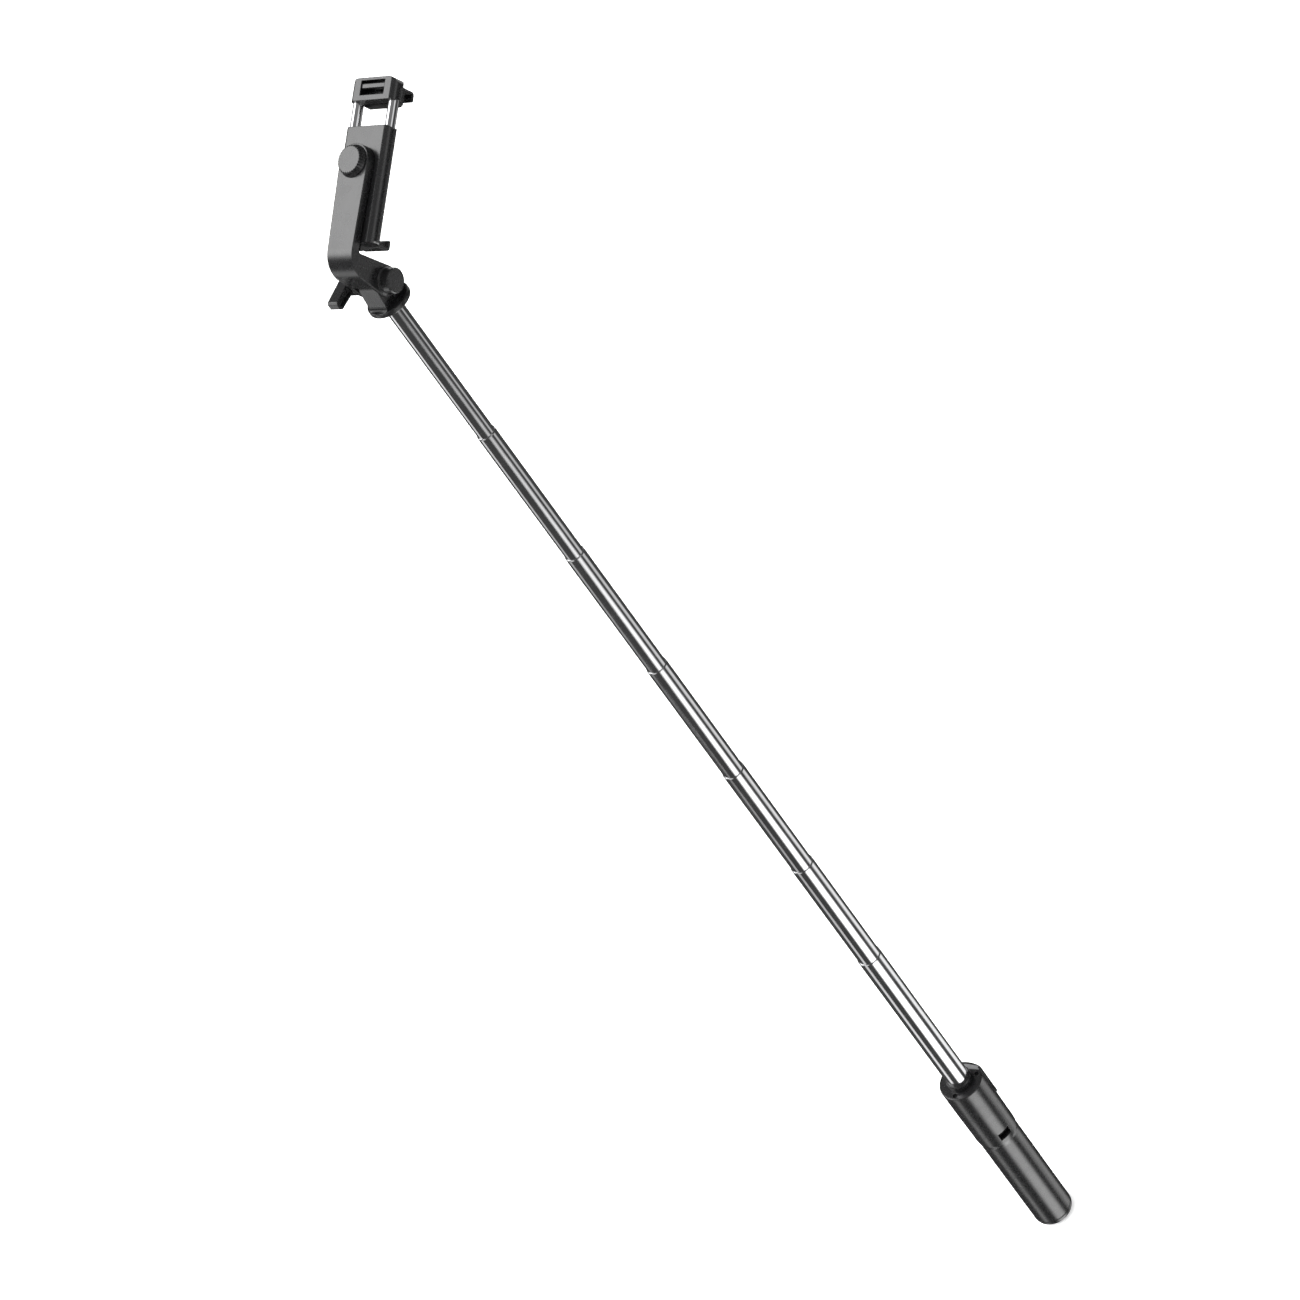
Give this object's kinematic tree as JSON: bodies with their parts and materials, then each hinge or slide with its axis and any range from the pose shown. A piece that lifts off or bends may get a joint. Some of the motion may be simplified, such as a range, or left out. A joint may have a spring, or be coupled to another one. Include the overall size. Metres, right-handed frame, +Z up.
{
  "type": "selfie stick",
  "caption": "Telescopic hand-held pole with a round grip, slide-out remote, tilting forked head and a spring phone clamp that swivels.",
  "frame": {"origin": "centre of the handle's flat bottom", "axes": "+Z up the pole to the head; +X along the head's tilt hinge, towards the round cap; the clamp leans back towards +Y, and its open front faces -Y and up"},
  "size_m": [0.029, 0.0952, 0.8973],
  "materials": {
    "black_plastic": "satin, fine moulded texture",
    "grey_plastic": "satin",
    "rubber": "soft matt",
    "tube_steel": "polished stainless steel",
    "rod_chrome": "bright chrome plate",
    "steel": "plain machined steel",
    "black_steel": "black oxide",
    "bronze": "plain, rubbed smooth",
    "brass_insert": "plain",
    "battery_steel": "satin nickel plate",
    "circuit_board": "solder-mask green"
  },
  "bodies": {
    "handle": {"handle_housing": "black_plastic", "bottom_cap": "black_plastic", "top_plate": "black_plastic", "plate_screws": "black_steel", "collar": "black_plastic", "liner_tube": "steel", "window_latch": "black_plastic"},
    "remote": {"remote_cover": "black_plastic", "remote_frame": "grey_plastic", "remote_board": "circuit_board", "remote_battery": "battery_steel"},
    "button": {"remote_button": "black_plastic"},
    "pole_7": {"tube_7": "tube_steel", "bushing_7": "bronze"},
    "pole_6": {"tube_6": "tube_steel", "bushing_6": "bronze"},
    "pole_5": {"tube_5": "tube_steel", "bushing_5": "bronze"},
    "pole_4": {"tube_4": "tube_steel", "bushing_4": "bronze"},
    "pole_3": {"tube_3": "tube_steel", "bushing_3": "bronze"},
    "pole_2": {"tube_2": "tube_steel", "bushing_2": "bronze"},
    "slider": {"bushing_1": "bronze"},
    "pole_1": {"tube_1": "tube_steel", "hub": "black_plastic", "hub_pin": "steel"},
    "arm": {"arm": "black_plastic", "tilt_bolt": "steel", "hinge_cap": "black_plastic", "tilt_washers": "steel", "swivel_washer": "rubber"},
    "lever": {"wing_lever": "black_plastic", "lever_nut": "brass_insert"},
    "clamp": {"clamp_front": "black_plastic", "clamp_back": "black_plastic", "clamp_screws": "black_steel", "swivel_nut": "steel", "swivel_screw": "steel", "lower_jaw": "black_plastic", "lower_pad": "rubber", "lower_screws": "black_steel", "jaw_springs": "steel"},
    "knob": {"swivel_knob": "black_plastic"},
    "jaw": {"jaw_rods": "rod_chrome", "rod_yoke": "black_plastic", "top_jaw": "black_plastic", "jaw_bar": "black_plastic", "top_pad": "rubber"}
  },
  "joints": [
    {"name": "remote_slide", "type": "slide", "parent": "handle", "child": "remote", "axis": [0, 0, 1], "range_m": [0, 0.032]},
    {"name": "remote_button_press", "type": "slide", "parent": "remote", "child": "button", "axis": [0.0872, -0.9962, 0], "range_m": [0, 0.0005], "stiffness_N_per_m": 1500},
    {"name": "pole_7_slide", "type": "slide", "parent": "handle", "child": "pole_7", "axis": [0, 0, 1], "range_m": [-0.1295, 0]},
    {"name": "pole_6_slide", "type": "slide", "parent": "pole_7", "child": "pole_6", "axis": [0, 0, 1], "range_m": [-0.0903, 0]},
    {"name": "pole_5_slide", "type": "slide", "parent": "pole_6", "child": "pole_5", "axis": [0, 0, 1], "range_m": [-0.0867, 0.0036]},
    {"name": "pole_4_slide", "type": "slide", "parent": "pole_5", "child": "pole_4", "axis": [0, 0, 1], "range_m": [-0.0903, 0]},
    {"name": "pole_3_slide", "type": "slide", "parent": "pole_4", "child": "pole_3", "axis": [0, 0, 1], "range_m": [-0.0903, 0]},
    {"name": "pole_2_slide", "type": "slide", "parent": "pole_3", "child": "pole_2", "axis": [0, 0, 1], "range_m": [-0.0903, 0]},
    {"name": "pole_1_slide", "type": "slide", "parent": "pole_2", "child": "slider", "axis": [0, 0, 1], "range_m": [-0.09, 0]},
    {"name": "pole_twist", "type": "hinge", "parent": "slider", "child": "pole_1", "pos_m": [0, 0, 0.8222], "axis": [0, 0, 1], "continuous": true},
    {"name": "head_tilt", "type": "hinge", "parent": "pole_1", "child": "arm", "pos_m": [0, 0, 0.8359], "axis": [1, 0, 0], "range_deg": [-75, 62]},
    {"name": "wing_lever_turn", "type": "hinge", "parent": "arm", "child": "lever", "pos_m": [-0.012, 0, 0.8359], "axis": [1, 0, 0], "range_deg": [-60, 2]},
    {"name": "clamp_swivel", "type": "hinge", "parent": "arm", "child": "clamp", "pos_m": [0, 0.03268, 0.87784], "axis": [0, -0.4756, 0.8796], "range_deg": [-90, 90]},
    {"name": "swivel_knob_turn", "type": "hinge", "parent": "arm", "child": "knob", "pos_m": [0, 0.0304, 0.88207], "axis": [0, -0.4756, 0.8796], "range_deg": [-270, 270]},
    {"name": "jaw_slide", "type": "slide", "parent": "clamp", "child": "jaw", "axis": [0, 0.8796, 0.4756], "range_m": [-0.0114, 0.0136], "deforming": ["jaw_springs"]}
  ]
}
